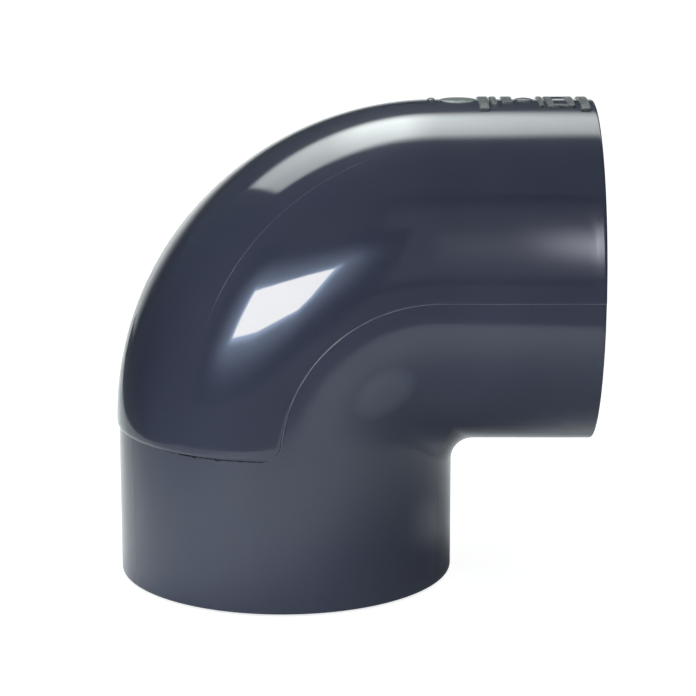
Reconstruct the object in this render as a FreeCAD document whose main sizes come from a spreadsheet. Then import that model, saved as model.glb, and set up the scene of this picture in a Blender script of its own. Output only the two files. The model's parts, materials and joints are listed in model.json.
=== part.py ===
import FreeCAD, Part
import math
import os

import Sketcher
from FreeCAD import Placement, Rotation, Vector

# A 90 degree short-radius elbow with a solvent socket at each end, for 63 mm rigid PVC conduit.
# It stands on its lower mouth: the origin is the middle of that mouth, +Z runs up the lower
# socket's axis and +X runs out along the side socket's axis. The two axes cross face_distance
# above the origin. The parting line divides the moulding into a polished region over the back
# of the bend, which stands slightly proud, and a satin region below it.

SIZES = {
    "outer_radius": 38.8,
    "proud_step": 0.5,
    "face_distance": 70.5,
    "socket_radius": 31.6,
    "socket_depth": 38.0,
    "passage_radius": 28.5,
    "bend_radius": 34.8,
    "ring_drop": 35.3,
    "corner_radius": 4.0,
    "throat_radius": 5.5,
    "clear_reach": 100.0,
    "mark_height": 0.5,
    "frame_stroke": 1.7,
}

# The raised marks cross the crown of the side socket. Each has its middle along X, its length
# along X and its width across the crown.
MARKS = {
    "dot": (33.5, 1.8, 4.0),
    "oval_pad": (39.6, 8.2, 8.4),
    "first_wide_bar": (45.3, 2.4, 19.5),
    "first_slim_bar": (47.6, 1.5, 14.4),
    "second_wide_bar": (50.6, 2.5, 11.2),
    "low_oval": (54.5, 4.2, 4.4),
    "second_slim_bar": (58.2, 1.2, 15.4),
    "frame": (62.5, 6.4, 16.0),
    "end_bar": (67.9, 2.2, 19.8),
}
ROUND_MARKS = ("dot", "oval_pad", "low_oval")

# The pieces that raised marks are grouped into.
MARK_PIECES = {
    "raised_dot": ["dot"],
    "raised_oval_pad": ["oval_pad"],
    "raised_wide_bars": ["first_wide_bar", "second_wide_bar"],
    "raised_slim_bars": ["first_slim_bar", "second_slim_bar"],
    "raised_low_oval": ["low_oval"],
    "raised_frame": ["frame"],
    "raised_end_bar": ["end_bar"],
}

SATIN_RADIUS = "Sizes.outer_radius"
POLISHED_RADIUS = "Sizes.outer_radius + Sizes.proud_step"
STRAIGHT_LENGTH = "Sizes.face_distance - Sizes.bend_radius"

doc = FreeCAD.newDocument("conduit_elbow")
sheet = doc.addObject("Spreadsheet::Sheet", "Sizes")


def fill_sheet(values):
    """One row for each driving dimension: its name, and its value under that alias."""
    for row, (name, value) in enumerate(values.items(), start=1):
        sheet.set(f"A{row}", name)
        sheet.set(f"B{row}", str(value))
        sheet.setAlias(f"B{row}", name)
    doc.recompute()


def add(kind, name, **sizes):
    """A document object with each named property bound to a formula on the sheet."""
    item = doc.addObject(kind, name)
    for prop, formula in sizes.items():
        item.setExpression(prop, formula)
    return item


def move(item, **formulas):
    for axis, formula in formulas.items():
        item.setExpression(f"Placement.Base.{axis}", formula)
    return item


def run_in(item, end):
    """A tool made along +Z stands on the lower mouth, or turns to run in from the side mouth."""
    if end == "lower":
        return item
    item.Placement = Placement(Vector(), Rotation(Vector(0, 1, 0), -90))
    return move(item, x="Sizes.face_distance", z="Sizes.face_distance")


def group(kind, name, shapes):
    item = doc.addObject(kind, name)
    item.Shapes = shapes
    return item


def cut(name, base, tool):
    item = doc.addObject("Part::Cut", name)
    item.Base = base
    item.Tool = tool
    return item


def bind_last(sketch, constraint, formula):
    """Add a sketch constraint whose value comes from the sheet."""
    index = sketch.addConstraint(constraint)
    sketch.setExpression(f"Constraints[{index}]", formula)


def bend_section(name, radius_formula, radius):
    """The tube's section at the start of the bend. The tube is fatter than the bend's radius,
    so its disc stops at the line that the bend turns about."""
    turn = SIZES["bend_radius"]
    half_angle = math.acos(turn / radius)
    half_chord = radius * math.sin(half_angle)
    circle = Part.Circle(Vector(), Vector(0, 0, 1), radius)
    sketch = move(doc.addObject("Sketcher::SketchObject", name), z=STRAIGHT_LENGTH)
    arc = sketch.addGeometry(Part.ArcOfCircle(circle, half_angle, 2 * math.pi - half_angle))
    ends = Vector(turn, -half_chord), Vector(turn, half_chord)
    chord = sketch.addGeometry(Part.LineSegment(*ends))
    sketch.addConstraint(Sketcher.Constraint("Coincident", arc, 3, -1, 1))
    sketch.addConstraint(Sketcher.Constraint("Coincident", arc, 2, chord, 1))
    sketch.addConstraint(Sketcher.Constraint("Coincident", arc, 1, chord, 2))
    sketch.addConstraint(Sketcher.Constraint("Vertical", chord))
    bind_last(sketch, Sketcher.Constraint("Radius", arc, radius), radius_formula)
    bind_last(sketch, Sketcher.Constraint("DistanceX", -1, 1, chord, 1, turn), "Sizes.bend_radius")
    return sketch


def outer_forms(name, radius_formula, radius):
    """Two straight tubes and the quarter turn that joins them, all solid inside."""
    tubes = [
        run_in(add("Part::Cylinder", f"{name}_{end}_tube", Radius=radius_formula,
                   Height=STRAIGHT_LENGTH), end)
        for end in ("lower", "side")
    ]
    bend = doc.addObject("Part::Revolution", f"{name}_bend")
    bend.Source = bend_section(f"{name}_section", radius_formula, radius)
    bend.Axis = Vector(0, 1, 0)
    bend.Angle = 90
    bend.Solid = True
    bend.setExpression("Base.x", "Sizes.bend_radius")
    bend.setExpression("Base.z", STRAIGHT_LENGTH)
    return tubes + [bend]


def throat_web():
    """The rounded inside corner of the two tubes. Its profile is carried, without turning, along
    the ellipse where the tubes cross, out to where the bend itself is as round."""
    tube = SIZES["outer_radius"]
    web = SIZES["throat_radius"]
    crossing = SIZES["face_distance"]
    half_angle = math.acos((SIZES["bend_radius"] - web) / tube)
    crease = Part.Ellipse(
        Vector(tube, 0, crossing - tube), Vector(0, tube, crossing), Vector(0, 0, crossing)
    )
    spine = Part.Wire([Part.ArcOfEllipse(crease, -half_angle, half_angle).toShape()])
    corner = spine.OrderedVertexes[0].Point
    bulge = web * (1 - math.sqrt(0.5))
    side_end = corner + Vector(web, 0, 0)
    lower_end = corner - Vector(0, 0, web)
    inner = corner + Vector(-web, 0, web)
    outline = [lower_end, lower_end - Vector(web, 0, 0), inner, side_end + Vector(0, 0, web), side_end]
    edges = [Part.makeLine(start, end) for start, end in zip(outline, outline[1:])]
    edges.append(Part.Arc(side_end, corner + Vector(bulge, 0, -bulge), lower_end).toShape())
    sweep = Part.BRepOffsetAPI.MakePipeShell(spine)
    sweep.setTrihedronMode(Vector(), Vector(0, 1, 0))
    sweep.add(Part.Wire(edges))
    sweep.build()
    sweep.makeSolid()
    item = doc.addObject("Part::Feature", "throat_web")
    item.Shape = sweep.shape()
    return item


def satin_block():
    """Everything under the parting surface. Seen from the front, its edge runs in from the side
    mouth at the height of that socket's axis, follows the bend's centreline down, rounds a small
    corner and runs out level round the back of the lower socket."""
    turn = SIZES["bend_radius"]
    drop = SIZES["ring_drop"]
    corner = SIZES["corner_radius"]
    reach = SIZES["clear_reach"]
    corner_height = corner - drop
    across = math.sqrt((turn + corner) ** 2 - (corner_height + turn) ** 2)
    corner_centre = Vector(turn - across, corner_height, 0)
    bend_centre = Vector(turn, -turn, 0)
    meeting_angle = math.atan2(corner_height + turn, -across)
    meeting = bend_centre + Vector(math.cos(meeting_angle), math.sin(meeting_angle), 0) * turn
    level_start = corner_centre - Vector(0, corner, 0)
    bend_circle = Part.Circle(bend_centre, Vector(0, 0, 1), turn)
    corner_circle = Part.Circle(corner_centre, Vector(0, 0, 1), corner)

    sketch = move(doc.addObject("Sketcher::SketchObject", "parting_profile"), z="Sizes.face_distance")
    sketch.Placement.Rotation = Rotation(Vector(1, 0, 0), 90)
    low_left, low_right, side_end = Vector(-reach, -reach, 0), Vector(reach, -reach, 0), Vector(reach, 0, 0)
    along_side = sketch.addGeometry(Part.LineSegment(side_end, Vector(turn, 0, 0)))
    bend = sketch.addGeometry(Part.ArcOfCircle(bend_circle, math.pi / 2, meeting_angle))
    rounding = sketch.addGeometry(Part.ArcOfCircle(corner_circle, -math.pi / 2, meeting_angle - math.pi))
    level = sketch.addGeometry(Part.LineSegment(level_start, Vector(-reach, -drop, 0)))
    back = sketch.addGeometry(Part.LineSegment(Vector(-reach, -drop, 0), low_left))
    under = sketch.addGeometry(Part.LineSegment(low_left, low_right))
    front = sketch.addGeometry(Part.LineSegment(low_right, side_end))
    for first, first_end, second, second_end in (
        (level, 2, back, 1), (back, 2, under, 1), (under, 2, front, 1), (front, 2, along_side, 1)
    ):
        sketch.addConstraint(Sketcher.Constraint("Coincident", first, first_end, second, second_end))
    for first, first_end, second, second_end in (
        (along_side, 2, bend, 1), (bend, 2, rounding, 2), (rounding, 1, level, 1)
    ):
        sketch.addConstraint(Sketcher.Constraint("Tangent", first, first_end, second, second_end))
    for line in (along_side, level, under):
        sketch.addConstraint(Sketcher.Constraint("Horizontal", line))
    for line in (back, front):
        sketch.addConstraint(Sketcher.Constraint("Vertical", line))
    sketch.addConstraint(Sketcher.Constraint("PointOnObject", along_side, 1, -1))
    bind_last(sketch, Sketcher.Constraint("Radius", bend, turn), "Sizes.bend_radius")
    bind_last(sketch, Sketcher.Constraint("DistanceX", -1, 1, bend, 3, turn), "Sizes.bend_radius")
    bind_last(sketch, Sketcher.Constraint("Radius", rounding, corner), "Sizes.corner_radius")
    bind_last(sketch, Sketcher.Constraint("DistanceY", level, 1, -1, 1, drop), "Sizes.ring_drop")
    bind_last(sketch, Sketcher.Constraint("DistanceX", -1, 1, front, 1, reach), "Sizes.clear_reach")
    bind_last(sketch, Sketcher.Constraint("DistanceX", back, 1, -1, 1, reach), "Sizes.clear_reach")
    bind_last(sketch, Sketcher.Constraint("DistanceY", under, 1, -1, 1, reach), "Sizes.clear_reach")
    block = add("Part::Extrusion", "satin_block", LengthFwd="Sizes.clear_reach")
    block.Base = sketch
    block.DirMode = "Custom"
    block.Dir = Vector(0, 1, 0)
    block.Symmetric = True
    block.Solid = True
    return block


def inner_space():
    """The open way through: a socket that ends in a stop shoulder at each end, and the narrower
    passage round the bend between them."""
    tools = []
    for end in ("lower", "side"):
        tools += [
            run_in(add("Part::Cylinder", f"{end}_socket", Radius="Sizes.socket_radius",
                       Height="Sizes.socket_depth"), end),
            run_in(add("Part::Cylinder", f"{end}_passage", Radius="Sizes.passage_radius",
                       Height=STRAIGHT_LENGTH), end),
        ]
    turn = add("Part::Torus", "bend_passage", Radius1="Sizes.bend_radius", Radius2="Sizes.passage_radius")
    turn.Angle3 = 90
    turn.Placement.Rotation = Rotation(Vector(-1, 0, 0), Vector(0, 0, 1), Vector(0, 1, 0))
    move(turn, x="Sizes.bend_radius", z=STRAIGHT_LENGTH)
    return group("Part::MultiFuse", "inner_space", tools + [turn])


def upright_prism(name):
    """A mark's outline as an upright column that is centred on the crown."""
    low = "Sizes.face_distance"
    if name in ROUND_MARKS:
        outline = add("Part::Ellipse", f"{name}_outline", MajorRadius=f"Sizes.{name}_width / 2",
                      MinorRadius=f"Sizes.{name}_length / 2")
        outline.Placement.Rotation = Rotation(Vector(0, 0, 1), 90)
        move(outline, x=f"Sizes.{name}_middle", z=low)
        column = add("Part::Extrusion", f"{name}_column", LengthFwd=low)
        column.Base = outline
        column.DirMode = "Custom"
        column.Dir = Vector(0, 0, 1)
        column.Solid = True
        return column
    column = add("Part::Box", f"{name}_column", Length=f"Sizes.{name}_length",
                 Width=f"Sizes.{name}_width", Height=low)
    return move(column, x=f"Sizes.{name}_middle - Sizes.{name}_length / 2",
                y=f"-Sizes.{name}_width / 2", z=low)


def frame_column():
    """The blank frame: a box of even stroke with a box-shaped window."""
    window = add("Part::Box", "frame_window", Length="Sizes.frame_length - 2 * Sizes.frame_stroke",
                 Width="Sizes.frame_width - 2 * Sizes.frame_stroke", Height="Sizes.face_distance")
    move(window, x="Sizes.frame_middle - Sizes.frame_length / 2 + Sizes.frame_stroke",
         y="Sizes.frame_stroke - Sizes.frame_width / 2", z="Sizes.face_distance")
    return cut("frame_ring", upright_prism("frame"), window)


def raised_piece(name, marks):
    """Marks kept between the polished surface and the height that they stand out to."""
    columns = [frame_column() if mark == "frame" else upright_prism(mark) for mark in marks]
    column = columns[0] if len(columns) == 1 else group("Part::MultiFuse", f"{name}_columns", columns)
    tops = run_in(add("Part::Cylinder", f"{name}_tops", Height=STRAIGHT_LENGTH + " + Sizes.bend_radius",
                      Radius=POLISHED_RADIUS + " + Sizes.mark_height"), "side")
    foot = run_in(add("Part::Cylinder", f"{name}_foot", Height=STRAIGHT_LENGTH + " + Sizes.bend_radius",
                      Radius=POLISHED_RADIUS), "side")
    return cut(name, group("Part::MultiCommon", f"{name}_full_height", [column, tops]), foot)


def build():
    """The two regions of the moulding and the raised marks, by node name."""
    tube = SIZES["outer_radius"]
    satin = outer_forms("satin", SATIN_RADIUS, tube)
    polished = outer_forms("polished", POLISHED_RADIUS, tube + SIZES["proud_step"])
    below = satin_block()
    hollow = inner_space()
    satin_form = group("Part::MultiFuse", "satin_form", satin + [throat_web()])
    polished_form = group("Part::MultiFuse", "polished_form", polished)
    pieces = {
        "lower_shell": cut("lower_shell", group("Part::MultiCommon", "satin_region", [satin_form, below]),
                           hollow),
        "upper_shell": cut("upper_shell", cut("polished_region", polished_form, below), hollow),
    }
    for name, marks in MARK_PIECES.items():
        pieces[name] = raised_piece(name, marks)
    return pieces


def check(pieces):
    """Stop if anything in the document failed, or a piece is empty or broken."""
    failed = [item.Name for item in doc.Objects if {"Invalid", "Error"} & set(item.State)]
    if failed:
        raise RuntimeError(f"failed: {failed}")
    for name, item in pieces.items():
        if item.Shape.isNull() or not item.Shape.isValid() or item.Shape.Volume <= 0:
            raise RuntimeError(f"{name} has no valid shape")
        print(f"{name}: {len(item.Shape.Solids)} solid(s), {item.Shape.Volume:.1f} mm3")


mark_sizes = {
    f"{name}_{part}": value
    for name, sizes in MARKS.items()
    for part, value in zip(("middle", "length", "width"), sizes)
}
fill_sheet({**SIZES, **mark_sizes})
pieces = build()
doc.recompute()
for name, item in pieces.items():
    item.Label = name
check(pieces)
os.makedirs("parts", exist_ok=True)
for name, item in pieces.items():
    item.Shape.exportStep(f"parts/{name}.step")
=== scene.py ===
import json
import math

import bpy
import numpy as np
from mathutils import Matrix, Vector

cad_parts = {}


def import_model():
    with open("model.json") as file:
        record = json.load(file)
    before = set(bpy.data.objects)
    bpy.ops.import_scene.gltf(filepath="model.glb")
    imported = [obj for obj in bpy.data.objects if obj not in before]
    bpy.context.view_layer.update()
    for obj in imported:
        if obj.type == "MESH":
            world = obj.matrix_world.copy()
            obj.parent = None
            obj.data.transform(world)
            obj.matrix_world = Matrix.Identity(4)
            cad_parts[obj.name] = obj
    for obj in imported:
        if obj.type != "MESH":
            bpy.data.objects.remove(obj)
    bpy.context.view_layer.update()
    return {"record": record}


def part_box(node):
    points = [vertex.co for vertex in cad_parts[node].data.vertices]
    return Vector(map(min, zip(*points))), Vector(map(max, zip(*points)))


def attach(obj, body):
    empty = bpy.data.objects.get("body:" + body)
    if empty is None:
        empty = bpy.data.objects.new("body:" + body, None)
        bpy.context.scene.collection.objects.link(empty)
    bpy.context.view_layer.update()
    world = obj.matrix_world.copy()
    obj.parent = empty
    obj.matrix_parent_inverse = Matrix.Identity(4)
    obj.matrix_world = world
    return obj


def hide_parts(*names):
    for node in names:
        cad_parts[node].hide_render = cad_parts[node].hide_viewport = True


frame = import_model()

MM = 0.001

# ---------------------------------------------------------------- sizes
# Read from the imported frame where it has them. The bend, the passage, the throat and the corner
# are as in the CAD model, and the small edges after them are finer than it has.
MOUNTS = {mount["name"]: mount for mount in frame["record"]["mounts"]}
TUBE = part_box("lower_shell")[1][1]             # outer radius of the satin region
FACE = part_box("lower_shell")[1][0]             # from the crossing of the axes to each mouth
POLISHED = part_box("upper_shell")[1][1]         # outer radius of the polished region
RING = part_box("upper_shell")[0][2]             # height of the parting ring
SOCKET = MOUNTS["side_socket"]["dims"]["r_mm"] * MM
SHOULDER = MOUNTS["side_socket"]["dims"]["length_mm"] * MM
BEND = 34.8 * MM                               # radius of the bend's centreline
PASSAGE = 28.5 * MM                            # radius of the way round the bend
THROAT = 5.5 * MM                              # rounding of the inside corner
THROAT_BLEND = 3.5 * MM                        # how softly the bend passes into it
CORNER = 4.0 * MM                              # rounded corner of the parting line
SIDE_EDGE = 0.45 * MM                          # rounding of the polished region's long edges
RING_EDGE = 1.0 * MM                           # the same over the parting ring
POLISHED_RIM = 0.40 * MM                       # rounding of the mouths' outer edges
SATIN_RIM = 0.35 * MM
BORE_RIM = 0.3 * MM                            # and of their inner edges
RELIEF = 0.07 * MM                             # how far the polished region falls away by its mouth
RELIEF_DEPTH = 2.2 * MM
LEG = FACE - BEND                              # height where the back of the bend starts
QUARTER = math.pi / 2


# ---------------------------------------------------------------- surfaces of the elbow
def points(x, y, z):
    return np.stack(np.broadcast_arrays(x, y, z), axis=-1)


def mirrored(rows):
    """The elbow is the same both ways: this carries points by the lower leg to the side leg."""
    return points(FACE - rows[..., 2], rows[..., 1], FACE - rows[..., 0])


def on_leg(angle, radius, height):
    """Round the lower leg. Angle 0 is the back of the elbow and a quarter turn is its front."""
    return points(-radius * np.cos(angle), -radius * np.sin(angle), height)


def turn_radius(inward):
    """The turn that a lengthwise fibre takes: the bend's own, and never less than the throat's."""
    plain = BEND - inward - THROAT
    share = np.clip(inward / BEND, 0, 1)
    width = THROAT_BLEND * share ** 2 * (3 - 2 * share)
    return THROAT + 0.5 * (plain + np.sqrt(plain ** 2 + width ** 2))


def leg_end(angle):
    """Height where the outer fibre at that angle stops being straight."""
    inward = -TUBE * np.cos(angle)
    return FACE - inward - turn_radius(inward)


def on_bend(angle, radius, along):
    """The outer surface on the turn, from along 0 at the lower leg to a quarter turn."""
    inward = -radius * np.cos(angle)
    turn = turn_radius(-TUBE * np.cos(angle)) + (radius - TUBE) * np.cos(angle)
    centre = inward + turn
    return points(
        centre - turn * np.cos(along), -radius * np.sin(angle), FACE - centre + turn * np.sin(along)
    )


def on_passage(angle, share):
    """The inner way round the bend, between the planes of the two stop shoulders."""
    reach = BEND + PASSAGE * np.cos(angle)
    start = np.arcsin((SHOULDER - LEG) / reach)
    along = start + (QUARTER - 2 * start) * share
    return points(BEND - reach * np.cos(along), -PASSAGE * np.sin(angle), LEG + reach * np.sin(along))


# ---------------------------------------------------------------- the parting line
CORNER_HEIGHT = RING + CORNER
CORNER_X = BEND - math.sqrt((BEND + CORNER) ** 2 - (CORNER_HEIGHT - LEG) ** 2)
CORNER_END = math.atan2(CORNER_HEIGHT - LEG, BEND - CORNER_X)


def half_span_on_leg(height):
    """Half the angle that the polished region spans just over the ring."""
    reach = CORNER_X + math.sqrt(max(0.0, CORNER ** 2 - (height - CORNER_HEIGHT) ** 2))
    return math.acos(-reach / TUBE)


def half_span_on_bend(along):
    """The same on the bend: rounded at first, and from there on the back half of the tube."""
    if along >= CORNER_END:
        return QUARTER
    to_centre = Vector((CORNER_X - BEND, CORNER_HEIGHT - LEG))
    nearest = to_centre.dot(Vector((-math.cos(along), math.sin(along))))
    reach = nearest - math.sqrt(nearest ** 2 - to_centre.length_squared + CORNER ** 2)
    return math.acos((reach - BEND) / TUBE)


# Rows over the ring, each as how far it is along the bend and its height while still on the leg.
LEG_STEPS = 4
CORNER_STEPS = 16
BEND_STEPS = 100
SIDE_STEPS = 30
RELIEF_STEPS = 5                               # those of SIDE_STEPS that lie within the relief
RIM_STEPS = 5
row_heights = np.linspace(RING, LEG, LEG_STEPS, endpoint=False)
row_turns = np.concatenate([
    np.linspace(0, CORNER_END, CORNER_STEPS, endpoint=False),
    np.linspace(CORNER_END, QUARTER, BEND_STEPS, endpoint=False),
])
SPANS = np.array(
    [half_span_on_leg(height) for height in row_heights]
    + [half_span_on_bend(along) for along in row_turns]
    + [QUARTER] * (SIDE_STEPS + RIM_STEPS)
)


def rim_profile(edge):
    """Depths and insets of a mouth's rounded edge, from the mouth's face inwards."""
    turn = np.linspace(QUARTER, 0, RIM_STEPS)
    return edge * (1 - np.sin(turn)), edge * (1 - np.cos(turn))


def rows_above_ring(angles, lift, edge):
    """Outer surface from the ring round the bend to the side mouth. angles has a row for each
    entry of SPANS, and lift how far each of those points stands out from the satin radius."""
    radius = TUBE + lift
    rows = []
    for i, height in enumerate(row_heights):
        share = height / LEG
        rows.append(on_leg(angles[i], radius[i], leg_end(angles[i]) * share))
    first = len(rows)
    for i, along in enumerate(row_turns, start=first):
        rows.append(on_bend(angles[i], radius[i], along))
    first = len(rows)
    relief = RELIEF_DEPTH / LEG
    shares = np.concatenate([np.linspace(1, relief, SIDE_STEPS - RELIEF_STEPS, endpoint=False),
                             np.linspace(relief, 0, RELIEF_STEPS, endpoint=False)])
    for i, share in enumerate(shares, start=first):
        depth = edge + (leg_end(angles[i]) - edge) * share
        rows.append(mirrored(on_leg(angles[i], radius[i], depth)))
    first = len(rows)
    depths, insets = rim_profile(edge)
    for i in range(RIM_STEPS):
        k = RIM_STEPS - 1 - i
        rows.append(mirrored(on_leg(angles[first + i], radius[first + i] - insets[k], depths[k])))
    return np.array(rows)


def bore_rows_above_ring(angles):
    """Inner surface over the same rows: the top of the lower socket, its stop shoulder, the
    passage, and the side socket out to its mouth."""
    rows = [on_leg(angles[i], SOCKET, height)
            for i, height in enumerate(np.linspace(RING, SHOULDER, LEG_STEPS))]
    for share in np.linspace(0, 1, len(SPANS) - LEG_STEPS - SIDE_STEPS - RIM_STEPS):
        rows.append(on_passage(angles[len(rows)], share))
    turn = np.linspace(0, QUARTER, RIM_STEPS)
    depths = np.concatenate([np.linspace(SHOULDER, BORE_RIM, SIDE_STEPS, endpoint=False),
                             BORE_RIM * (1 - np.sin(turn))])
    radii = np.concatenate([np.full(SIDE_STEPS, SOCKET), SOCKET + BORE_RIM * (1 - np.cos(turn))])
    for depth, radius in zip(depths, radii):
        rows.append(mirrored(on_leg(angles[len(rows)], radius, depth)))
    return np.array(rows)


# ---------------------------------------------------------------- mesh helpers
class MeshParts:
    """Gathers the points and faces of one closed mesh, with a material number for each face."""

    def __init__(self):
        self.points = []
        self.faces = []
        self.materials = []

    def add_points(self, block):
        """Add a block of points and give back their numbers in the same layout."""
        start = len(self.points)
        self.points.extend(map(tuple, block.reshape(-1, 3)))
        return np.arange(start, start + block[..., 0].size).reshape(block.shape[:-1])

    def quads(self, grid, material=0, flip=False):
        """Faces between neighbouring rows and columns of point numbers."""
        low, high = grid[:-1], grid[1:]
        for corners in zip(low[:, :-1].flat, low[:, 1:].flat, high[:, 1:].flat, high[:, :-1].flat):
            self.faces.append(corners[::-1] if flip else corners)
            self.materials.append(material)

    def cap(self, ring):
        """One flat face over a ring of point numbers."""
        self.faces.append(tuple(ring))
        self.materials.append(0)

    def make(self, name, materials, sharp=35):
        mesh = bpy.data.meshes.new(name)
        mesh.from_pydata(self.points, [], self.faces)
        mesh.polygons.foreach_set("material_index", self.materials)
        for material in materials:
            mesh.materials.append(material)
        mesh.polygons.foreach_set("use_smooth", [True] * len(mesh.polygons))
        mesh.set_sharp_from_angle(angle=math.radians(sharp))
        mesh.update()
        mesh.validate()
        piece = bpy.data.objects.new(name, mesh)
        bpy.context.scene.collection.objects.link(piece)
        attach(piece, "root")
        return piece


def joined(grid):
    """The same rows with their first column again at the end, so that faces go all the way round."""
    return np.concatenate([grid, grid[:, :1]], axis=1)


def column_shares(fine_width, span_width, fine, coarse):
    """Positions from -1 to 1 across a strip, close together near both of its edges."""
    edge = fine_width / span_width * 2
    near = np.linspace(-1, -1 + edge, fine, endpoint=False)
    middle = np.linspace(-1 + edge, 1 - edge, coarse, endpoint=False)
    return np.concatenate([near, middle, -near[::-1]])


def rounded_edge(distance, width):
    """0 at an edge, rising along a quarter round to 1 at that width."""
    inside = np.clip(1 - distance / width, 0, 1)
    return np.sqrt(1 - inside ** 2)


# ---------------------------------------------------------------- shells
UPPER_COLUMNS = column_shares(SIDE_EDGE, math.pi * TUBE, fine=7, coarse=170)
LOWER_COLUMNS = column_shares(SIDE_EDGE, math.pi * TUBE, fine=3, coarse=170)
RING_STEP = 0.45                               # share of the polished region's rise that is sheer
LEVEL_HEIGHT = 10 * MM                         # rows are level at the mouth and free from here up


def upper_shell(materials):
    """The polished region, which stands proud and rounds off towards the parting line."""
    angles = SPANS[:, None] * UPPER_COLUMNS[None, :]
    to_side = TUBE * (SPANS[:, None] - np.abs(angles))
    climb = np.concatenate([row_heights - RING, LEG - RING + row_turns * (BEND + TUBE)])
    climb = np.concatenate([climb, np.full(SIDE_STEPS + RIM_STEPS, 1.0)])[:, None]
    lift = (POLISHED - TUBE) * np.minimum(rounded_edge(to_side, SIDE_EDGE), ring_edge(climb))
    by_mouth = RELIEF_STEPS + RIM_STEPS
    lift[-by_mouth:] -= RELIEF * np.linspace(0, 1, by_mouth)[:, None] ** 0.8
    parts = MeshParts()
    outer = parts.add_points(rows_above_ring(angles, lift, POLISHED_RIM))
    inner = parts.add_points(bore_rows_above_ring(angles))
    parts.quads(outer, 0)
    parts.quads(inner, 1, flip=True)
    parts.quads(np.stack([inner[0], outer[0]]), 0)
    parts.quads(np.stack([outer[-1], inner[-1]]), 1)
    parts.quads(np.stack([inner[:, 0], outer[:, 0]], axis=1), 1)
    parts.quads(np.stack([outer[:, -1], inner[:, -1]], axis=1), 1)
    return parts.make("upper_shell_moulded", materials)


def ring_edge(climb):
    """The polished region starts with a small step over the ring, then rounds up to full height."""
    return RING_STEP + (1 - RING_STEP) * rounded_edge(climb, RING_EDGE)


def lower_shell(materials):
    """The satin region: the lower socket all round, and the front half of the rest."""
    spans = SPANS[:, None]
    satin = spans + (math.pi - spans) * (LOWER_COLUMNS[None, :] + 1)
    back_ring = 2 * math.pi + SPANS[0] * UPPER_COLUMNS[1:-1]
    ring_round = np.concatenate([satin[0], back_ring])

    depths, insets = rim_profile(SATIN_RIM)
    heights = np.concatenate([depths, np.linspace(SATIN_RIM, RING, SIDE_STEPS + 1)[1:-1]])
    insets = np.concatenate([insets, np.zeros(SIDE_STEPS - 1)])
    stretched = leg_end(ring_round)[None, :] * heights[:, None] / LEG
    free = np.minimum(1, heights[:, None] / LEVEL_HEIGHT)
    outer_heights = heights[:, None] + (stretched - heights[:, None]) * free
    outer_below = on_leg(ring_round[None, :], TUBE - insets[:, None], outer_heights)

    bore_depths, flare = rim_profile(BORE_RIM)
    bore_heights = np.concatenate([bore_depths, np.linspace(BORE_RIM, RING, SIDE_STEPS + 1)[1:-1]])
    flare = np.concatenate([flare, np.zeros(SIDE_STEPS - 1)])
    inner_below = on_leg(ring_round[None, :], (SOCKET + flare)[:, None], bore_heights[:, None])

    parts = MeshParts()
    outer = parts.add_points(rows_above_ring(satin, np.zeros_like(satin), SATIN_RIM))
    inner = parts.add_points(bore_rows_above_ring(satin))
    outer_back = parts.add_points(on_leg(back_ring, TUBE, RING))
    inner_back = parts.add_points(on_leg(back_ring, SOCKET, RING))
    below_out = parts.add_points(outer_below)
    below_in = parts.add_points(inner_below)

    def closed(grid, front, behind):
        """Rows below the ring, topped by the ring's own row, and joined all round."""
        top = np.concatenate([front, behind])[None, :]
        return joined(np.concatenate([grid, top]))

    around_out = closed(below_out, outer[0], outer_back)
    around_in = closed(below_in, inner[0], inner_back)
    parts.quads(around_out, 0)
    parts.quads(around_in, 1, flip=True)
    parts.quads(np.stack([around_in[0], around_out[0]]), 1)
    parts.quads(outer, 0)
    parts.quads(inner, 1, flip=True)
    parts.quads(np.stack([outer[-1], inner[-1]]), 1)
    parts.quads(np.stack([inner[:, 0], outer[:, 0]], axis=1), 1)
    parts.quads(np.stack([outer[:, -1], inner[:, -1]], axis=1), 1)
    ledge_out = np.concatenate([outer[0, -1:], outer_back, outer[0, :1]])
    ledge_in = np.concatenate([inner[0, -1:], inner_back, inner[0, :1]])
    parts.quads(np.stack([ledge_out, ledge_in]), 0)
    return parts.make("lower_shell_moulded", materials)


# ---------------------------------------------------------------- flash along the parting line
def parting_line():
    """Points of the parting line on the front, from the side mouth down to just over the ring."""
    rows = rows_above_ring(SPANS[:, None], np.zeros((len(SPANS), 1)), SATIN_RIM)[::-1, 0]
    return rows[rows[:, 2] >= RING + 0.05 * MM]


def bead(name, line, width, rise, material):
    """A thin rounded bead of plastic along a line on the surface, with its size at each point."""
    outward = surface_normals(line)
    forward = np.gradient(line, axis=0)
    forward /= np.linalg.norm(forward, axis=1, keepdims=True)
    across = np.cross(outward, forward)
    sides = np.linspace(0, 2 * math.pi, 10, endpoint=False)
    parts = MeshParts()
    rings = np.stack([
        line + across * width[:, None] * math.cos(side) + outward * rise[:, None] * math.sin(side)
        for side in sides
    ], axis=1)
    numbers = parts.add_points(rings)
    parts.quads(joined(numbers))
    parts.cap(numbers[0][::-1])
    parts.cap(numbers[-1])
    return parts.make(name, [material], sharp=80)


def uneven(count, spacing, low, high, seed):
    """Seeded values that wander between low and high, with a new one every so many points."""
    knots = np.random.default_rng(seed).uniform(low, high, count // spacing + 2)
    return np.interp(np.arange(count), np.arange(len(knots)) * spacing, knots)


def hump(value, middle, width):
    """1 at the middle, and less and less either side of it."""
    return np.exp(-((value - middle) / width) ** 2)


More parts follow.
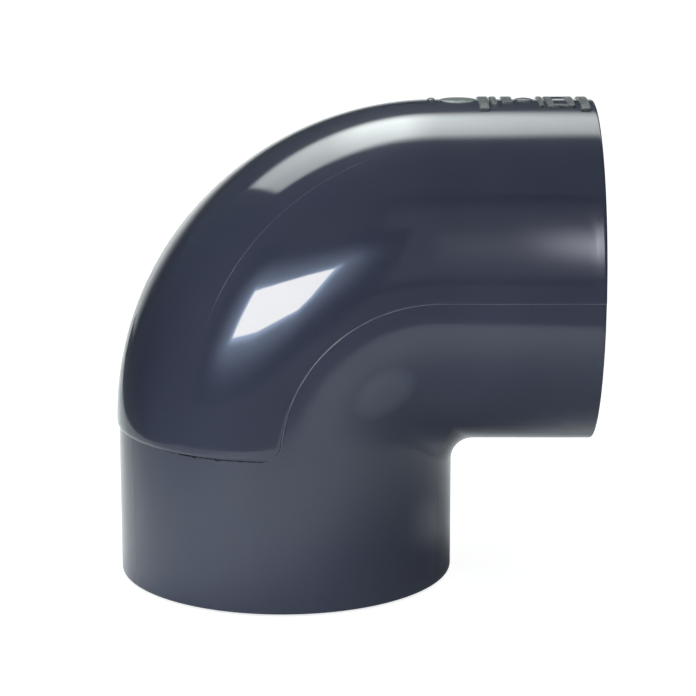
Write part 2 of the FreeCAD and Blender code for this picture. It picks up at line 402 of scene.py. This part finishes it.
def parting_flash(material):
    """A fine bead that the closed mould leaves along both sides, painted pale for the highlight that
    its edge catches. It is thickest half way round the bend, where turn is counted in radians from the
    bend's start."""
    line = parting_line()
    on_bend_part = line[:, 0] <= BEND
    turn = np.arctan2(line[:, 2] - LEG, BEND - line[:, 0])
    thick = np.where(on_bend_part, 0.55, 0.35) + 0.85 * hump(turn, 0.75, 0.45) * on_bend_part
    thick = thick * uneven(len(line), spacing=3, low=0.8, high=1.2, seed=7)
    width = 0.15 * MM * thick
    rise = 0.11 * MM * thick + 0.02 * MM
    rear = line * np.array([1, -1, 1])
    return [bead("parting_flash_front", line, width, rise, material),
            bead("parting_flash_rear", rear, width, rise, material)]


def parting_lip(material):
    """The torn lip of the ring round the back, painted near black for the shadow in and under it.
    Angles are in radians from the middle of the back.
    """
    half = np.linspace(SPANS[0], 0, 150)
    ring = np.concatenate([half, -half[-2::-1]])
    from_back = np.abs(ring)
    torn = 0.15 + 0.85 * hump(from_back, 1.10, 0.17)
    ragged = uneven(len(ring), spacing=2, low=-1, high=1, seed=11) * torn
    path = on_leg(ring, TUBE, RING - 0.05 * MM - 0.16 * MM * torn + 0.40 * MM * ragged)
    open_part = 0.2 + 0.8 * np.clip((from_back - 0.78) / 0.15, 0, 1)
    width = (0.08 * MM + 0.05 * MM * torn + 0.16 * MM * np.abs(ragged)) * open_part
    return bead("parting_lip", path, width, 0.27 * MM * open_part, material)


def flow_line(material):
    """The faint line round the bend where the plastic's flow met."""
    first, last = 0.30, 0.92                   # shares of the bend's quarter turn
    low_end, high_end = 53.5, 35.7             # degrees round the tube from the middle of the back
    fade = 0.12
    share = np.linspace(first, last, 120)
    angle = np.radians(low_end + (high_end - low_end) * (share - first) / (last - first))
    line = np.array([on_bend(a, POLISHED, s * QUARTER) for a, s in zip(angle, share)])
    ends = np.minimum(1, np.minimum(share - first, last - share) / fade) + 0.02
    width = 0.055 * MM * ends * uneven(len(share), spacing=3, low=0.6, high=1.2, seed=3)
    return bead("flow_line", line, width, 0.5 * width, material)


def surface_normals(line):
    """Outward directions of the tube at points on it."""
    on_side = line[:, 0] > BEND
    on_turn = (line[:, 2] > LEG) & ~on_side
    from_centre = np.stack([line[:, 0] - BEND, 0 * line[:, 1], line[:, 2] - LEG], axis=1)
    from_centre *= 1 - BEND / np.linalg.norm(from_centre, axis=1, keepdims=True)
    from_centre[:, 1] = line[:, 1]
    normals = line.copy()
    normals[:, 2] = 0
    normals[on_side, 0] = 0
    normals[on_side, 2] = line[on_side, 2] - FACE
    normals[on_turn] = from_centre[on_turn]
    return normals / np.linalg.norm(normals, axis=1, keepdims=True)


# ---------------------------------------------------------------- raised marks on the crown
MARK_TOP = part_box("raised_oval_pad")[1][2] - FACE
MARK_FOOT = POLISHED - 0.15 * MM               # radius where the sides end, just inside the tube
MARK_ROOT = -1.5                               # climb at the bottom of an oval or of the frame
BAR_BOTTOM = MARK_FOOT - 0.3 * MM              # radius at the bottom of a bar
MARK_EDGE = 0.22 * MM                          # width of a stroke's rounded edge
EDGE_INSET = np.array([0, 0.15, 0.5, 1.0])     # the rounding's profile, as shares of its width
EDGE_CLIMB = np.array([0, 0.55, 0.86, 1.0])    # and of the mark's height
FRAME_STROKE = 1.7 * MM
FRAME_CORNER = 0.5 * MM                        # rounding of the frame's outer corners
LEAST_CORNER = 0.1 * MM                        # and of its inner ones
WIDE_BAR = 2.4 * MM
SLIM_BAR = 1.5 * MM
SLIMMER_BAR = 1.2 * MM


def on_crown(along, across, radius):
    """A point over the side socket: across is measured round the tube from its crest."""
    turn = across / POLISHED
    return points(along, radius * np.sin(turn), FACE + radius * np.cos(turn))


def mark_radius(climb):
    """Radius of a point on a mark: climb is 0 at the mark's foot and 1 at its top."""
    return MARK_FOOT + (MARK_TOP - MARK_FOOT) * climb


def node_span(node):
    """Where a mark starts and ends along X, and half its width round the tube."""
    low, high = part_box(node)
    half_width = POLISHED * math.asin(high[1] / MARK_TOP)
    return low[0], high[0], half_width


def bar(parts, low, high, half_width):
    """A bar across the crown: a rounded top, steep sides and a bottom inside the tube."""
    inset = MARK_EDGE * EDGE_INSET
    middle = np.linspace(low + MARK_EDGE, high - MARK_EDGE, 4)[1:-1]
    xs = np.concatenate([low + inset, middle, (high - inset)[::-1]])
    x_climb = np.concatenate([EDGE_CLIMB, np.ones(len(middle)), EDGE_CLIMB[::-1]])
    rest = np.linspace(-half_width + MARK_EDGE, half_width - MARK_EDGE, 40)[1:-1]
    ys = np.concatenate([inset - half_width, rest, (half_width - inset)[::-1]])
    y_climb = np.concatenate([EDGE_CLIMB, np.ones(len(rest)), EDGE_CLIMB[::-1]])
    climb = np.minimum(x_climb[None, :], y_climb[:, None])
    top = parts.add_points(on_crown(xs[None, :], ys[:, None], mark_radius(climb)))
    bottom = parts.add_points(on_crown(xs[None, :], ys[:, None], BAR_BOTTOM))
    skin(parts, top, bottom)


def skin(parts, top, bottom):
    """Close a raised patch: its top, its bottom and the four sides between them."""
    parts.quads(top)
    parts.quads(bottom, flip=True)
    parts.quads(np.stack([bottom[0], top[0]]))
    parts.quads(np.stack([top[-1], bottom[-1]]))
    parts.quads(np.stack([bottom[:, 0], top[:, 0]], axis=1))
    parts.quads(np.stack([top[:, -1], bottom[:, -1]], axis=1))


def raised_bars(node, bars, material):
    """Plain bars, each from low to high along X and as wide as its share of the node's width."""
    half_width = node_span(node)[2]
    parts = MeshParts()
    for low, high, share in bars:
        bar(parts, low, high, half_width * share)
    return parts.make(f"{node}_moulded", [material])


def raised_oval(node, material):
    """A plain oval pad: a shallow dome in rings of points, from its foot to its middle."""
    low, high, half_width = node_span(node)
    middle, half_length = (low + high) / 2, (high - low) / 2
    outward = np.array([1, 1, 0.985, 0.95, 0.9, 0.82, 0.72, 0.6, 0.46, 0.3, 0.15])
    climb = np.concatenate([[MARK_ROOT], 0.25 + 0.75 * np.sqrt(1 - outward[1:] ** 2)])
    turn = np.linspace(0, 2 * math.pi, 72, endpoint=False)
    parts = MeshParts()
    rings = []
    for share, rise in zip(outward, climb):
        along = middle + half_length * share * np.cos(turn)
        across = half_width * share * np.sin(turn)
        rings.append(on_crown(along, across, mark_radius(rise)))
    numbers = parts.add_points(np.array(rings))
    parts.quads(joined(numbers))
    parts.cap(numbers[0][::-1])
    parts.cap(numbers[-1])
    return parts.make(f"{node}_moulded", [material])


def raised_frame(node, material):
    """A blank frame: one rounded stroke carried round a rectangle on the crown."""
    low, high, half_width = node_span(node)
    edge_inset = MARK_EDGE * np.concatenate([[0], EDGE_INSET])
    edge_climb = np.concatenate([[MARK_ROOT], EDGE_CLIMB])
    insets = np.concatenate([edge_inset, FRAME_STROKE - edge_inset[::-1]])
    parts = MeshParts()
    loops = []
    for inset, climb in zip(insets, np.concatenate([edge_climb, edge_climb[::-1]])):
        corner = max(FRAME_CORNER - inset, LEAST_CORNER)
        loop = rounded_loop(low + inset, high - inset, half_width - inset, corner)
        loops.append(on_crown(loop[:, 0], loop[:, 1], mark_radius(climb)))
    numbers = parts.add_points(np.array(loops))
    parts.quads(joined(np.concatenate([numbers, numbers[:1]])))
    return parts.make(f"{node}_moulded", [material])


def rounded_loop(low, high, half_width, corner):
    """A rectangle with rounded corners, closely divided across the crown."""
    centres = [(high - corner, half_width - corner, 0),
               (low + corner, half_width - corner, QUARTER),
               (low + corner, corner - half_width, math.pi),
               (high - corner, corner - half_width, -QUARTER)]
    arcs = []
    for x, y, start in centres:
        turn = start + np.linspace(0, QUARTER, 5)
        arcs.append(np.stack([x + corner * np.cos(turn), y + corner * np.sin(turn)], axis=1))
    loop = []
    for arc, following in zip(arcs, arcs[1:] + arcs[:1]):
        loop.append(arc)
        share = np.linspace(0, 1, 26)[1:-1, None]
        loop.append(arc[-1] + (following[0] - arc[-1]) * share)
    return np.concatenate(loop)


# ---------------------------------------------------------------- materials
class Nodes:
    """Short names for building one material's node tree."""

    def __init__(self, name):
        self.material = bpy.data.materials.new(name)
        self.material.use_nodes = True
        self.tree = self.material.node_tree
        self.shader = self.tree.nodes["Principled BSDF"]
        self.place = self.tree.nodes.new("ShaderNodeTexCoord").outputs["Object"]

    def set(self, **values):
        """Numbers and colours for the surface, with an underscore for each space in a name."""
        for name, value in values.items():
            self.shader.inputs[name.replace("_", " ")].default_value = value

    def new(self, kind, **settings):
        node = self.tree.nodes.new(kind)
        for name, value in settings.items():
            setattr(node, name, value)
        return node

    def link(self, source, target):
        self.tree.links.new(source, target)

    def noise(self, scale, detail=2.0, roughness=0.5, stretch=None, offset=0.0):
        """Noise over the object, finer with a higher scale, in cycles to the metre."""
        node = self.new("ShaderNodeTexNoise")
        node.inputs["Scale"].default_value = scale
        node.inputs["Detail"].default_value = detail
        node.inputs["Roughness"].default_value = roughness
        place = self.new("ShaderNodeMapping")
        place.inputs["Location"].default_value = (offset, offset * 0.7, offset * 1.3)
        place.inputs["Scale"].default_value = stretch or (1, 1, 1)
        self.link(self.place, place.inputs["Vector"])
        self.link(place.outputs[0], node.inputs["Vector"])
        return node.outputs["Fac"]

    def spread(self, value, low, high, to_low, to_high):
        """Carry low to to_low and high to to_high, and hold them beyond."""
        node = self.new("ShaderNodeMapRange")
        names = ("From Min", "From Max", "To Min", "To Max")
        for name, number in zip(names, (low, high, to_low, to_high)):
            node.inputs[name].default_value = number
        self.link(value, node.inputs["Value"])
        return node.outputs["Result"]

    def distance(self, vector, place=(0, 0, 0)):
        node = self.new("ShaderNodeVectorMath", operation="DISTANCE")
        node.inputs[1].default_value = place
        self.link(vector, node.inputs[0])
        return node.outputs["Value"]

    def math(self, operation, first, second):
        node = self.new("ShaderNodeMath", operation=operation)
        for socket, value in zip(node.inputs, (first, second)):
            if isinstance(value, (int, float)):
                socket.default_value = value
            else:
                self.link(value, socket)
        return node.outputs[0]

    def mix(self, factor, first, second):
        node = self.new("ShaderNodeMix", data_type="RGBA")
        self.link(factor, node.inputs["Factor"])
        for name, value in (("A", first), ("B", second)):
            socket = [s for s in node.inputs if s.name == name and s.type == "RGBA"][0]
            if isinstance(value, tuple):
                socket.default_value = (*value, 1)
            else:
                self.link(value, socket)
        return [s for s in node.outputs if s.type == "RGBA"][0]

    def bump(self, height, distance, onto=None):
        node = self.new("ShaderNodeBump")
        node.inputs["Distance"].default_value = distance
        node.inputs["Strength"].default_value = 1.0
        self.link(height, node.inputs["Height"])
        if onto is not None:
            self.link(onto, node.inputs["Normal"])
        return node.outputs["Normal"]


DEEP_BLUE_GREY = (0.0405, 0.0468, 0.0770)
PALE_BLUE_GREY = (0.0468, 0.0540, 0.0880)


def pvc(name, roughness, waviness, grain=0, deep=DEEP_BLUE_GREY, pale=PALE_BLUE_GREY, speck=0.35):
    """Moulded PVC: a faint flow pattern in its colour, waves from the mould and a fine grain."""
    nodes = Nodes(name)
    shader = nodes.shader
    nodes.set(IOR=1.53)
    flow = nodes.noise(38, detail=3, stretch=(1, 1, 0.6))
    specks = nodes.spread(nodes.noise(2600, detail=1, offset=3.1), 0.70, 0.78, 0, speck)
    tone = nodes.mix(nodes.spread(flow, 0.3, 0.7, 0, 1), deep, pale)
    nodes.tone = nodes.mix(specks, tone, tuple(1.6 * channel for channel in pale))
    nodes.link(nodes.tone, shader.inputs["Base Color"])
    dulling = nodes.noise(90, detail=4, roughness=0.6, offset=1.7)
    nodes.link(nodes.spread(dulling, 0.35, 0.7, roughness * 0.85, roughness * 1.25),
               shader.inputs["Roughness"])
    surface = nodes.bump(nodes.noise(55, detail=1, offset=5.3), waviness)
    if grain:
        surface = nodes.bump(nodes.noise(2400, detail=2, offset=2.2), grain, onto=surface)
    nodes.link(surface, shader.inputs["Normal"])
    return nodes


def polished_pvc():
    """A glossy skin over a slightly hazy body, so that bright reflections have a soft halo."""
    nodes = pvc("polished_pvc", 0.335, 0.02 * MM)
    nodes.set(Specular_IOR_Level=0.05, Coat_Weight=1.0, Coat_Roughness=0.035, Coat_IOR=1.5)
    return nodes.material


def satin_pvc():
    """The dulled region, with a painted reflection on each cheek over the inside corner: a soft paler
    oval in its colour.
    """
    nodes = pvc("satin_pvc", 0.115, 0.02 * MM, grain=0.001 * MM,
                deep=(0.0440, 0.0510, 0.0850), pale=(0.0510, 0.0590, 0.0965))
    parts = nodes.new("ShaderNodeSeparateXYZ")
    nodes.link(nodes.place, parts.inputs[0])
    place = nodes.new("ShaderNodeCombineXYZ")
    nodes.link(parts.outputs["X"], place.inputs["X"])
    nodes.link(nodes.math("ABSOLUTE", parts.outputs["Y"], 0), place.inputs["Y"])
    nodes.link(parts.outputs["Z"], place.inputs["Z"])
    # Painted reflection: the colour turns paler inside a soft oval on each cheek over the inside
    # corner.
    oval = nodes.new("ShaderNodeMapping", vector_type="TEXTURE")
    oval.inputs["Location"].default_value = (22.8 * MM, 34.9 * MM, 49.8 * MM)
    oval.inputs["Rotation"].default_value = (0, math.radians(-38.5), 0)
    oval.inputs["Scale"].default_value = (8.0 * MM, 12 * MM, 5.4 * MM)
    nodes.link(place.outputs[0], oval.inputs["Vector"])
    painted_reflection = nodes.spread(nodes.distance(oval.outputs[0]), 0.55, 1.05, 0.75, 0)
    painted_reflection_colour = (0.093, 0.105, 0.145)
    nodes.link(nodes.mix(painted_reflection, nodes.tone, painted_reflection_colour), nodes.shader.inputs["Base Color"])
    return nodes.material


def marking_pvc(name, roughness, pitting, deep, pale):
    """The raised marks: duller than the polished region and finely pitted, with pale specks painted in
    for the glints of their pits in the overhead light.
    """
    nodes = pvc(name, roughness, 0.01 * MM)
    pits = nodes.noise(1600, detail=3, roughness=0.7, offset=8.1)
    # Painted glints: pale specks where the pits' facets would catch the overhead light.
    painted_glints = nodes.spread(pits, 0.40, 0.60, 0, 1)
    nodes.link(nodes.mix(painted_glints, deep, pale), nodes.shader.inputs["Base Color"])
    nodes.link(nodes.bump(pits, pitting), nodes.shader.inputs["Normal"])
    return nodes.material


# ---------------------------------------------------------------- the object
def show(piece, node):
    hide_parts(node)


def build_elbow():
    polished = polished_pvc()
    satin = satin_pvc()
    bore = pvc("bore_pvc", 0.34, 0.02 * MM, speck=0.0).material
    marks = marking_pvc("marking_pvc", 0.34, 0.12 * MM,
                        deep=(0.034, 0.042, 0.049), pale=(0.132, 0.156, 0.158))
    # The oval pad's pale grey all over is a painted sheen, for the overhead light on its rough top.
    pad = marking_pvc("pad_pvc", 0.30, 0.03 * MM,
                      deep=(0.14, 0.162, 0.157), pale=(0.21, 0.24, 0.23))
    # The flash's pale colour is a painted highlight.
    flash = pvc("flash_pvc", 0.3, 0.01 * MM, grain=0.002 * MM,
                deep=(0.27, 0.28, 0.34), pale=(0.36, 0.37, 0.44)).material
    # The lip's near-black colour is painted shadow.
    lip = pvc("lip_pvc", 0.6, 0.01 * MM, grain=0.002 * MM,
              deep=(0.008, 0.009, 0.014), pale=(0.012, 0.014, 0.02))
    lip.set(Specular_IOR_Level=0.12)
    show(upper_shell([polished, bore]), "upper_shell")
    show(lower_shell([satin, bore]), "lower_shell")
    for piece in parting_flash(flash) + [parting_lip(lip.material)]:
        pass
    flow = pvc("flow_pvc", 0.2, 0.01 * MM, deep=(0.10, 0.11, 0.15), pale=(0.13, 0.14, 0.18)).material
    flow_line(flow)
    for node, material in (("raised_dot", marks), ("raised_oval_pad", pad), ("raised_low_oval", marks)):
        show(raised_oval(node, material), node)
    show(raised_frame("raised_frame", marks), "raised_frame")
    low, high, _ = node_span("raised_wide_bars")
    bars = [(low, low + WIDE_BAR, 1.0), (high - WIDE_BAR, high, 0.575)]
    show(raised_bars("raised_wide_bars", bars, marks), "raised_wide_bars")
    low, high, _ = node_span("raised_slim_bars")
    bars = [(low, low + SLIM_BAR, 0.935), (high - SLIMMER_BAR, high, 1.0)]
    show(raised_bars("raised_slim_bars", bars, marks), "raised_slim_bars")
    low, high, _ = node_span("raised_end_bar")
    show(raised_bars("raised_end_bar", [(low, high, 1.0)], marks), "raised_end_bar")


# ---------------------------------------------------------------- studio
def emitter(name, colour, strength=None):
    """A lamp's surface. With no strength, it is as bright as its mesh says at each point."""
    material = bpy.data.materials.new(name)
    material.use_nodes = True
    tree = material.node_tree
    shader = tree.nodes["Principled BSDF"]
    shader.inputs["Base Color"].default_value = (0, 0, 0, 1)
    shader.inputs["Specular IOR Level"].default_value = 0
    shader.inputs["Emission Color"].default_value = (*colour, 1)
    if strength is None:
        glow = tree.nodes.new("ShaderNodeAttribute")
        glow.attribute_name = "glow"
        tree.links.new(glow.outputs["Fac"], shader.inputs["Emission Strength"])
    else:
        shader.inputs["Emission Strength"].default_value = strength
    return material


def sheet_of(name, corners, material):
    mesh = bpy.data.meshes.new(name)
    mesh.from_pydata([tuple(corner) for corner in corners], [], [tuple(range(len(corners)))])
    return staged(name, mesh, material)


def staged(name, mesh, material):
    mesh.materials.append(material)
    piece = bpy.data.objects.new(name, mesh)
    bpy.context.scene.collection.objects.link(piece)
    return piece


def soft_lamp(name, place, across, along, glow, colour):
    """A lamp that fades: place gives its points and glow its brightness over a grid."""
    first, second = np.meshgrid(across, along)
    mesh = bpy.data.meshes.new(name)
    spots = [tuple(place(a, b)) for a, b in zip(first.flat, second.flat)]
    numbers = np.arange(first.size).reshape(first.shape)
    faces = list(zip(numbers[:-1, :-1].flat, numbers[:-1, 1:].flat, numbers[1:, 1:].flat,
                     numbers[1:, :-1].flat))
    mesh.from_pydata(spots, [], [tuple(map(int, face)) for face in faces])
    layer = mesh.attributes.new("glow", "FLOAT", "POINT")
    layer.data.foreach_set("value", [float(glow(a, b)) for a, b in zip(first.flat, second.flat)])
    return staged(name, mesh, emitter(name, colour))


def smooth(value, low, high):
    share = min(1.0, max(0.0, (value - low) / (high - low)))
    return share * share * (3 - 2 * share)


def white_table():
    """A white table, round in front, that runs back as a widening sheet. The camera doesn't see
    it. Painted shadows make it darker under the side mouth, close to the lower socket's right, and to
    the left."""
    paper = Nodes("white_table")
    paper.set(Roughness=0.7, Specular_IOR_Level=0.1, Emission_Color=(0.82, 0.92, 1.0, 1))
    parts = paper.new("ShaderNodeSeparateXYZ")
    paper.link(paper.place, parts.inputs[0])
    # Painted shadows: the table's colour is darker round a point under the side mouth, next to the
    # lower socket and towards the left.
    away = paper.distance(paper.place, (0.080, 0, 0))
    under_side = paper.math("MAXIMUM", paper.spread(away, 0.030, 0.125, 0.34, 0.82),
                            paper.spread(away, 0.008, 0.030, 0.54, 0.30))
    by_socket = paper.spread(paper.distance(paper.place, (TUBE, 0, 0)), 0, 0.030, 0.38, 1.0)
    to_left = paper.spread(parts.outputs["X"], -0.14, -0.08, 0.66, 1.0)
    shade = paper.math("MULTIPLY", paper.math("MULTIPLY", under_side, by_socket), to_left)
    paper.link(shade, paper.shader.inputs["Base Color"])
    # Painted light: the table glows, bluish, as bright as its painted shadows allow.
    paper.link(paper.math("MULTIPLY", shade, 0.37), paper.shader.inputs["Emission Strength"])
    round_part = 0.183
    front = [(round_part * math.cos(a), round_part * math.sin(a), 0)
             for a in np.linspace(-2.75, 0.15, 60)]
    left = [(-0.9, 1.6, 0), (-0.5, 1.0, 0), (-0.20, 0.32, 0), (-0.155, 0.14, 0), (-0.163, 0.08, 0),
            (-0.170, 0.0, 0)]
    outline = front + [(0.19, 0.24, 0), (0.9, 1.6, 0)] + left
    table = sheet_of("table", outline, paper.material)
    table.visible_camera = False
    table.visible_shadow = False


def corners_of_square(half):
    return [(-half, -half), (half, -half), (half, half), (-half, half)]


def pale_surroundings():
    """The pale floor and walls that the camera sees. They light nothing, and the floor is dark
    inside the lower socket, where no light would reach."""
    ground = Nodes("pale_floor")
    ground.set(Base_Color=(0.45, 0.45, 0.45, 1), Roughness=0.7, Specular_IOR_Level=0.1,
               Emission_Color=(1, 1, 1, 1))
    inside_socket = ground.spread(ground.distance(ground.place), SOCKET + 2 * MM, TUBE, 0.03, 0.94)
    ground.link(inside_socket, ground.shader.inputs["Emission Strength"])
    below_table = -0.5 * MM
    floor = sheet_of("floor", [(x, y, below_table) for x, y in corners_of_square(12)], ground.material)
    white = emitter("pale_surroundings", (1, 1, 1), 1.0)
    around = corners_of_square(11)
    low, high = -1, 8.0
    walls = [[(*a, low), (*b, low), (*b, high), (*a, high)]
             for a, b in zip(around, around[1:] + around[:1])]
    walls.append([(x, y, high) for x, y in around])
    only_seen = [floor] + [sheet_of(f"surroundings_{i}", wall, white) for i, wall in enumerate(walls)]
    for sheet in only_seen:
        sheet.visible_diffuse = False
        sheet.visible_glossy = False
        sheet.visible_shadow = False


def direction(azimuth, elevation):
    """Unit vector: azimuth 0 is towards the viewer (-Y), positive towards +X, in degrees."""
    azimuth, elevation = math.radians(azimuth), math.radians(elevation)
    return Vector((math.sin(azimuth) * math.cos(elevation), -math.cos(azimuth) * math.cos(elevation),
                   math.sin(elevation)))


CENTRE = Vector((0, 0, FACE))
WHITE = (1.0, 1.0, 1.0)
# Corners of the window and of the fill beside it, as azimuth and elevation, and how far away
# each lamp stands, in metres.
WINDOW = ((-48.7, 10.2), (-35.5, 9.3), (-22.2, 10.0), (-20.4, 12.8), (-19.1, 22.7), (-49.4, 23.6))
FILL = ((0, 0), (30, 0), (30, 30), (0, 30))
WINDOW_AWAY = 1.2
HAZE_AWAY = 1.3
FILL_AWAY = 1.5
CARD_AWAY = 1.6
BACKDROP_AWAY = 1.6
OVERHEAD_HEIGHT = 1.1


def window_lamps():
    """The window at the left with the haze round it, seen only in reflections, and the light that
    it and a fill at the right give, which no reflection shows."""
    corners = [CENTRE + direction(*edge) * WINDOW_AWAY for edge in WINDOW]
    outline = [(a + (c - a) * share, b + (d - b) * share)
               for (a, b), (c, d) in zip(WINDOW, WINDOW[1:] + WINDOW[:1])
               for share in np.linspace(0, 0.9, 10)]

    def haze(azimuth, elevation):
        """A wide halo, and a narrow one close to the window's outline."""
        away = min(math.hypot(azimuth - a, elevation - e) for a, e in outline)
        wide = 3.4 * max(0.0, math.exp(-(away / 6.8) ** 2) - 0.01)
        narrow = 8 * math.exp(-(away / 1.5) ** 2)
        return wide + narrow

    only_reflected = [
        sheet_of("window", corners, emitter("window_light", WHITE, 19.5)),
        soft_lamp("window_haze", lambda a, e: CENTRE + direction(a, e) * HAZE_AWAY,
                  np.linspace(-65, -4, 123), np.linspace(-6, 39, 91), haze, (0.57, 0.73, 1.0)),
    ]
    for lamp in only_reflected:
        lamp.visible_diffuse = False
    fill = [CENTRE + direction(*edge) * FILL_AWAY for edge in FILL]
    only_diffuse = [sheet_of("window_spill", corners, emitter("window_spill", WHITE, 14)),
                    sheet_of("front_fill", fill, emitter("front_fill", WHITE, 1.35))]
    for lamp in only_diffuse:
        lamp.visible_glossy = False
    return only_reflected + only_diffuse


def overhead_lamp():
    """A sheet over the elbow, which makes the long highlight along the crown and the bend."""
    def glow(x, y):
        """Brightest in the middle, with a slanted left end and soft edges that drift along it."""
        along = float(np.interp(x, [-1.05, -0.8, -0.45, -0.28, -0.08, 0.02, 0.15, 0.6],
                                [3.8, 4.5, 5.8, 8.6, 9.3, 6.8, 4.6, 3.5]))
        left = smooth(x, -0.763 - 0.315 * y, -0.703 - 0.315 * y)
        near = float(np.interp(x, [-0.8, -0.5, -0.1, 0.08, 0.17], [0.235, 0.265, 0.325, 0.335, 0.375]))
        soft = float(np.interp(x, [-0.6, 0.0], [0.045, 0.10]))
        far = float(np.interp(x, [-1.0, -0.5, 0.08, 0.14], [0.945, 1.0, 1.06, 1.13]))
        fade = float(np.interp(x, [-0.5, 0.08, 0.17], [0.14, 0.21, 0.32]))
        depth = smooth(y, near - soft, near + soft) * (1 - smooth(y, far - fade, far + fade))
        tilt = float(np.interp(y, [0.4, 0.6, 0.95], [1.0, 1.06, 0.90]))
        return along * left * depth * tilt * (1 - smooth(x, 0.5, 0.8))

    return soft_lamp("overhead", lambda x, y: (x, y, OVERHEAD_HEIGHT), np.linspace(-1.3, 0.8, 90),
                     np.linspace(0.15, 1.55, 70), glow, (0.94, 1.0, 0.97))


def side_card():
    """A card in front and to the right, which makes the soft light patch by the side mouth."""
    def glow(azimuth, elevation):
        across = smooth(azimuth, 3.2, 7.2) ** 1.3 + 0.09 * smooth(azimuth, -1, 3)
        across *= 1 - smooth(azimuth, 11, 16)
        bright = 4.95 * across * math.exp(-((elevation - 25.3) / 10) ** 2)
        at_rim = 4.0 * math.exp(-((azimuth - 10.2) / 1.3) ** 2 - ((elevation - 26) / 14) ** 2)
        broad = 0.33 * smooth(azimuth, -22, -14) * smooth(elevation, 1, 10)
        return (bright + at_rim + broad) * (1 - smooth(elevation, 46, 60))

    middle = CENTRE + Vector((0.06, 0, 0))
    return soft_lamp("side_card", lambda a, e: middle + direction(a, e) * CARD_AWAY,
                     np.linspace(-22, 16, 77), np.linspace(1, 61, 41), glow, (0.88, 0.90, 1.0))


def backdrop():
    """A low glow behind the elbow, for the edges that are seen at a grazing angle."""
    def glow(azimuth, elevation):
        return 1.1 * (1 - smooth(elevation, 3, 17)) * (1 - smooth(abs(azimuth), 24, 42))

    middle = Vector((0, 0, 0.05))
    return soft_lamp("backdrop", lambda a, e: direction(180 - a, e) * BACKDROP_AWAY + middle,
                     np.linspace(-44, 44, 41), np.linspace(-4, 18, 23), glow, (0.95, 1.0, 0.985))


def lights():
    for lamp in window_lamps() + [overhead_lamp(), side_card(), backdrop()]:
        lamp.visible_camera = False


def world():
    """A dim room: brightest in front of the elbow (-Y), darkest to its sides and dim behind it."""
    surroundings = bpy.data.worlds.new("dim_room")
    surroundings.use_nodes = True
    tree = surroundings.node_tree
    background = tree.nodes["Background"]
    toward = tree.nodes.new("ShaderNodeTexCoord")
    parts = tree.nodes.new("ShaderNodeSeparateXYZ")
    tree.links.new(toward.outputs["Generated"], parts.inputs[0])
    share = tree.nodes.new("ShaderNodeMapRange")
    share.inputs["From Min"].default_value = -1
    tree.links.new(parts.outputs["Y"], share.inputs["Value"])
    ramp = tree.nodes.new("ShaderNodeValToRGB")
    tree.links.new(share.outputs["Result"], ramp.inputs["Fac"])
    stops = ((0.0, (0.20, 0.21, 0.22)), (0.35, (0.12, 0.13, 0.14)), (0.60, (0.02, 0.02, 0.025)),
             (0.85, (0.036, 0.042, 0.042)))
    while len(ramp.color_ramp.elements) < len(stops):
        ramp.color_ramp.elements.new(0.5)
    for element, (position, colour) in zip(ramp.color_ramp.elements, stops):
        element.position = position
        element.color = (*colour, 1)
    tree.links.new(ramp.outputs["Color"], background.inputs["Color"])
    bpy.context.scene.world = surroundings


def camera():
    """In front, with a long lens, looking 13 degrees down."""
    lens = bpy.data.cameras.new("camera")
    lens.lens = 124.3
    lens.sensor_width = 36.0
    eye = bpy.data.objects.new("camera", lens)
    place = Vector((0.0154, -0.5452, 0.1777))
    forward = Vector((-0.00136, 0.97437, -0.22486)).normalized()
    right = forward.cross(Vector((0, 0, 1))).normalized()
    up = right.cross(forward)
    turn = Matrix((right, up, -forward)).transposed()
    eye.matrix_world = Matrix.Translation(place) @ turn.to_4x4()
    bpy.context.scene.collection.objects.link(eye)
    bpy.context.scene.camera = eye


build_elbow()
white_table()
pale_surroundings()
lights()
world()
camera()
bpy.context.scene.view_settings.view_transform = "Standard"
